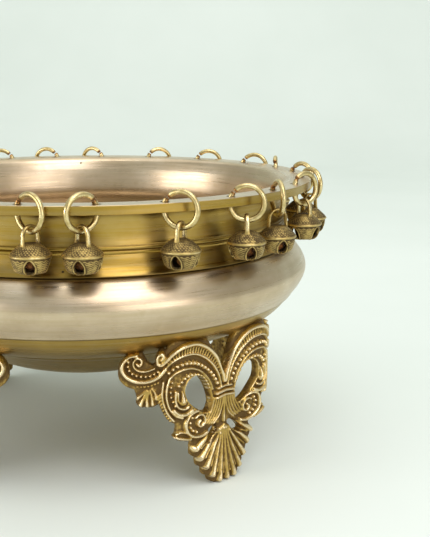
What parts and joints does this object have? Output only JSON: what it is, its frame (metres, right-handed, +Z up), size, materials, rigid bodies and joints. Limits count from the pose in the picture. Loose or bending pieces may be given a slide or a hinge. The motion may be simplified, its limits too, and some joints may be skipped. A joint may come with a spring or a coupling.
{
  "type": "footed brass bowl with rim bells",
  "caption": "Wide turned brass bowl on cast openwork feet, with open wire rings through the rim, each carrying a swinging jingle bell.",
  "frame": {"origin": "on the bowl's axis, at the surface that the feet stand on", "axes": "+Z up along the bowl's axis; -Y towards the viewer, midway between two feet; +X to the right"},
  "size_m": [0.2651, 0.2644, 0.1526],
  "materials": {
    "bowl_brass": "turned and satin polished, with fine lines round the wall",
    "ring_brass": "polished drawn wire",
    "bell_brass": "rough cast, dark in the hollows, rubbed bright on the edges",
    "foot_brass": "cast, antiqued dark in the hollows, rubbed bright on the ribs and beads",
    "pellet_iron": "rusty"
  },
  "bodies": {
    "bowl_and_feet": {"bowl": "bowl_brass", "foot_01": "foot_brass", "foot_02": "foot_brass", "foot_03": "foot_brass", "foot_04": "foot_brass"},
    "ring_01": {"rim_ring_01": "ring_brass"},
    "bell_01": {"bell_01": "bell_brass"},
    "ring_02": {"rim_ring_02": "ring_brass"},
    "bell_02": {"bell_02": "bell_brass"},
    "ring_03": {"rim_ring_03": "ring_brass"},
    "bell_03": {"bell_03": "bell_brass"},
    "ring_04": {"rim_ring_04": "ring_brass"},
    "bell_04": {"bell_04": "bell_brass"},
    "ring_05": {"rim_ring_05": "ring_brass"},
    "bell_05": {"bell_05": "bell_brass"},
    "ring_06": {"rim_ring_06": "ring_brass"},
    "bell_06": {"bell_06": "bell_brass"},
    "ring_07": {"rim_ring_07": "ring_brass"},
    "bell_07": {"bell_07": "bell_brass"},
    "ring_08": {"rim_ring_08": "ring_brass"},
    "bell_08": {"bell_08": "bell_brass"},
    "ring_09": {"rim_ring_09": "ring_brass"},
    "bell_09": {"bell_09": "bell_brass"},
    "ring_10": {"rim_ring_10": "ring_brass"},
    "bell_10": {"bell_10": "bell_brass"},
    "ring_11": {"rim_ring_11": "ring_brass"},
    "bell_11": {"bell_11": "bell_brass"},
    "ring_12": {"rim_ring_12": "ring_brass"},
    "bell_12": {"bell_12": "bell_brass"},
    "ring_13": {"rim_ring_13": "ring_brass"},
    "bell_13": {"bell_13": "bell_brass"},
    "ring_14": {"rim_ring_14": "ring_brass"},
    "bell_14": {"bell_14": "bell_brass"},
    "ring_15": {"rim_ring_15": "ring_brass"},
    "bell_15": {"bell_15": "bell_brass"},
    "ring_16": {"rim_ring_16": "ring_brass"},
    "bell_16": {"bell_16": "bell_brass"},
    "ring_17": {"rim_ring_17": "ring_brass"},
    "bell_17": {"bell_17": "bell_brass"},
    "ring_18": {"rim_ring_18": "ring_brass"},
    "bell_18": {"bell_18": "bell_brass"},
    "ring_19": {"rim_ring_19": "ring_brass"},
    "bell_19": {"bell_19": "bell_brass"},
    "ring_20": {"rim_ring_20": "ring_brass"},
    "bell_20": {"bell_20": "bell_brass"},
    "ring_21": {"rim_ring_21": "ring_brass"},
    "bell_21": {"bell_21": "bell_brass"},
    "ring_22": {"rim_ring_22": "ring_brass"},
    "bell_22": {"bell_22": "bell_brass"},
    "ring_23": {"rim_ring_23": "ring_brass"},
    "bell_23": {"bell_23": "bell_brass"}
  },
  "joints": [
    {"name": "ring_01_swivel", "type": "hinge", "parent": "bowl_and_feet", "child": "ring_01", "pos_m": [-0.01415, -0.11866, 0.14435], "axis": [0, 0, 1], "range_deg": [-120, 4]},
    {"name": "bell_01_swing", "type": "hinge", "parent": "ring_01", "child": "bell_01", "pos_m": [-0.00815, -0.12348, 0.1352], "axis": [-0.7793, 0.6266, 0], "range_deg": [-18, 60]},
    {"name": "ring_02_swivel", "type": "hinge", "parent": "bowl_and_feet", "child": "ring_02", "pos_m": [0.02024, -0.11777, 0.14435], "axis": [0, 0, 1], "range_deg": [-4, 120]},
    {"name": "bell_02_swing", "type": "hinge", "parent": "ring_02", "child": "bell_02", "pos_m": [0.0145, -0.1229, 0.1352], "axis": [0.746, 0.6659, 0], "range_deg": [-60, 18]},
    {"name": "ring_03_swivel", "type": "hinge", "parent": "bowl_and_feet", "child": "ring_03", "pos_m": [0.04956, -0.10874, 0.14435], "axis": [0, 0, 1], "range_deg": [-107, 17]},
    {"name": "bell_03_swing", "type": "hinge", "parent": "ring_03", "child": "bell_03", "pos_m": [0.05678, -0.11143, 0.1352], "axis": [-0.9367, 0.3501, 0], "range_deg": [-18, 60]},
    {"name": "ring_04_swivel", "type": "hinge", "parent": "bowl_and_feet", "child": "ring_04", "pos_m": [0.07927, -0.08942, 0.14435], "axis": [0, 0, 1], "range_deg": [-112, 12]},
    {"name": "bell_04_swing", "type": "hinge", "parent": "ring_04", "child": "bell_04", "pos_m": [0.08697, -0.08921, 0.1352], "axis": [-0.9996, -0.0272, 0], "range_deg": [-18, 60]},
    {"name": "ring_05_swivel", "type": "hinge", "parent": "bowl_and_feet", "child": "ring_05", "pos_m": [0.10046, -0.06472, 0.14435], "axis": [0, 0, 1], "range_deg": [-20, 104]},
    {"name": "bell_05_swing", "type": "hinge", "parent": "ring_05", "child": "bell_05", "pos_m": [0.10248, -0.07215, 0.1352], "axis": [-0.2623, 0.965, 0], "range_deg": [-60, 18]},
    {"name": "ring_06_swivel", "type": "hinge", "parent": "bowl_and_feet", "child": "ring_06", "pos_m": [0.11303, -0.03879, 0.14435], "axis": [0, 0, 1], "range_deg": [-120, 4]},
    {"name": "bell_06_swing", "type": "hinge", "parent": "ring_06", "child": "bell_06", "pos_m": [0.11901, -0.03393, 0.1352], "axis": [-0.7765, -0.6301, 0], "range_deg": [-18, 60]},
    {"name": "ring_07_swivel", "type": "hinge", "parent": "bowl_and_feet", "child": "ring_07", "pos_m": [0.11937, -0.0056, 0.14435], "axis": [0, 0, 1], "range_deg": [-12, 112]},
    {"name": "bell_07_swing", "type": "hinge", "parent": "ring_07", "child": "bell_07", "pos_m": [0.12404, -0.01173, 0.1352], "axis": [-0.6062, 0.7953, 0], "range_deg": [-60, 18]},
    {"name": "ring_08_swivel", "type": "hinge", "parent": "bowl_and_feet", "child": "ring_08", "pos_m": [0.11682, 0.02518, 0.14435], "axis": [0, 0, 1], "range_deg": [-4, 120]},
    {"name": "bell_08_swing", "type": "hinge", "parent": "ring_08", "child": "bell_08", "pos_m": [0.12218, 0.01966, 0.1352], "axis": [-0.6967, 0.7173, 0], "range_deg": [-60, 18]},
    {"name": "ring_09_swivel", "type": "hinge", "parent": "bowl_and_feet", "child": "ring_09", "pos_m": [0.10864, 0.04978, 0.14435], "axis": [0, 0, 1], "range_deg": [-122, 2]},
    {"name": "bell_09_swing", "type": "hinge", "parent": "ring_09", "child": "bell_09", "pos_m": [0.10936, 0.05744, 0.1352], "axis": [-0.0938, -0.9956, 0], "range_deg": [-18, 60]},
    {"name": "ring_10_swivel", "type": "hinge", "parent": "bowl_and_feet", "child": "ring_10", "pos_m": [0.08954, 0.07914, 0.14435], "axis": [0, 0, 1], "range_deg": [-4, 120]},
    {"name": "bell_10_swing", "type": "hinge", "parent": "ring_10", "child": "bell_10", "pos_m": [0.09692, 0.07694, 0.1352], "axis": [-0.9587, 0.2845, 0], "range_deg": [-60, 18]},
    {"name": "ring_11_swivel", "type": "hinge", "parent": "bowl_and_feet", "child": "ring_11", "pos_m": [0.05971, 0.10351, 0.14435], "axis": [0, 0, 1], "range_deg": [-4, 120]},
    {"name": "bell_11_swing", "type": "hinge", "parent": "ring_11", "child": "bell_11", "pos_m": [0.06741, 0.10378, 0.1352], "axis": [-0.9994, -0.0353, 0], "range_deg": [-60, 18]},
    {"name": "ring_12_swivel", "type": "hinge", "parent": "bowl_and_feet", "child": "ring_12", "pos_m": [0.02612, 0.11661, 0.14435], "axis": [0, 0, 1], "range_deg": [-4, 120]},
    {"name": "bell_12_swing", "type": "hinge", "parent": "ring_12", "child": "bell_12", "pos_m": [0.03339, 0.11916, 0.1352], "axis": [-0.9434, -0.3317, 0], "range_deg": [-60, 18]},
    {"name": "ring_13_swivel", "type": "hinge", "parent": "bowl_and_feet", "child": "ring_13", "pos_m": [-0.00548, 0.11937, 0.14435], "axis": [0, 0, 1], "range_deg": [-120, 4]},
    {"name": "bell_13_swing", "type": "hinge", "parent": "ring_13", "child": "bell_13", "pos_m": [-0.01219, 0.12315, 0.1352], "axis": [0.8714, -0.4905, 0], "range_deg": [-18, 60]},
    {"name": "ring_14_swivel", "type": "hinge", "parent": "bowl_and_feet", "child": "ring_14", "pos_m": [-0.03509, 0.11423, 0.14435], "axis": [0, 0, 1], "range_deg": [-120, 4]},
    {"name": "bell_14_swing", "type": "hinge", "parent": "ring_14", "child": "bell_14", "pos_m": [-0.04253, 0.11621, 0.1352], "axis": [0.9663, -0.2575, 0], "range_deg": [-18, 60]},
    {"name": "ring_15_swivel", "type": "hinge", "parent": "bowl_and_feet", "child": "ring_15", "pos_m": [-0.06285, 0.10164, 0.14435], "axis": [0, 0, 1], "range_deg": [-114, 10]},
    {"name": "bell_15_swing", "type": "hinge", "parent": "ring_15", "child": "bell_15", "pos_m": [-0.0705, 0.10248, 0.1352], "axis": [0.994, -0.1092, 0], "range_deg": [-18, 60]},
    {"name": "ring_16_swivel", "type": "hinge", "parent": "bowl_and_feet", "child": "ring_16", "pos_m": [-0.08878, 0.07999, 0.14435], "axis": [0, 0, 1], "range_deg": [-4, 120]},
    {"name": "bell_16_swing", "type": "hinge", "parent": "ring_16", "child": "bell_16", "pos_m": [-0.08744, 0.08757, 0.1352], "axis": [-0.1739, -0.9848, 0], "range_deg": [-60, 18]},
    {"name": "ring_17_swivel", "type": "hinge", "parent": "bowl_and_feet", "child": "ring_17", "pos_m": [-0.10613, 0.05493, 0.14435], "axis": [0, 0, 1], "range_deg": [-107, 17]},
    {"name": "bell_17_swing", "type": "hinge", "parent": "ring_17", "child": "bell_17", "pos_m": [-0.11347, 0.0526, 0.1352], "axis": [0.953, 0.3029, 0], "range_deg": [-18, 60]},
    {"name": "ring_18_swivel", "type": "hinge", "parent": "bowl_and_feet", "child": "ring_18", "pos_m": [-0.11742, 0.02221, 0.14435], "axis": [0, 0, 1], "range_deg": [-12, 112]},
    {"name": "bell_18_swing", "type": "hinge", "parent": "ring_18", "child": "bell_18", "pos_m": [-0.12118, 0.02893, 0.1352], "axis": [0.4892, -0.8722, 0], "range_deg": [-60, 18]},
    {"name": "ring_19_swivel", "type": "hinge", "parent": "bowl_and_feet", "child": "ring_19", "pos_m": [-0.11922, -0.00821, 0.14435], "axis": [0, 0, 1], "range_deg": [-120, 4]},
    {"name": "bell_19_swing", "type": "hinge", "parent": "ring_19", "child": "bell_19", "pos_m": [-0.12284, -0.015, 0.1352], "axis": [0.4704, 0.8824, 0], "range_deg": [-18, 60]},
    {"name": "ring_20_swivel", "type": "hinge", "parent": "bowl_and_feet", "child": "ring_20", "pos_m": [-0.11286, -0.03928, 0.14435], "axis": [0, 0, 1], "range_deg": [-110, 14]},
    {"name": "bell_20_swing", "type": "hinge", "parent": "ring_20", "child": "bell_20", "pos_m": [-0.11584, -0.04638, 0.1352], "axis": [0.3877, 0.9218, 0], "range_deg": [-18, 60]},
    {"name": "ring_21_swivel", "type": "hinge", "parent": "bowl_and_feet", "child": "ring_21", "pos_m": [-0.09687, -0.06998, 0.14435], "axis": [0, 0, 1], "range_deg": [-7, 117]},
    {"name": "bell_21_swing", "type": "hinge", "parent": "ring_21", "child": "bell_21", "pos_m": [-0.10414, -0.06745, 0.1352], "axis": [0.9446, -0.3281, 0], "range_deg": [-60, 18]},
    {"name": "ring_22_swivel", "type": "hinge", "parent": "bowl_and_feet", "child": "ring_22", "pos_m": [-0.07537, -0.09273, 0.14435], "axis": [0, 0, 1], "range_deg": [-112, 12]},
    {"name": "bell_22_swing", "type": "hinge", "parent": "ring_22", "child": "bell_22", "pos_m": [-0.07392, -0.10029, 0.1352], "axis": [-0.189, 0.982, 0], "range_deg": [-18, 60]},
    {"name": "ring_23_swivel", "type": "hinge", "parent": "bowl_and_feet", "child": "ring_23", "pos_m": [-0.04756, -0.10963, 0.14435], "axis": [0, 0, 1], "range_deg": [-12, 112]},
    {"name": "bell_23_swing", "type": "hinge", "parent": "ring_23", "child": "bell_23", "pos_m": [-0.05494, -0.11182, 0.1352], "axis": [0.9586, 0.2848, 0], "range_deg": [-60, 18]}
  ]
}
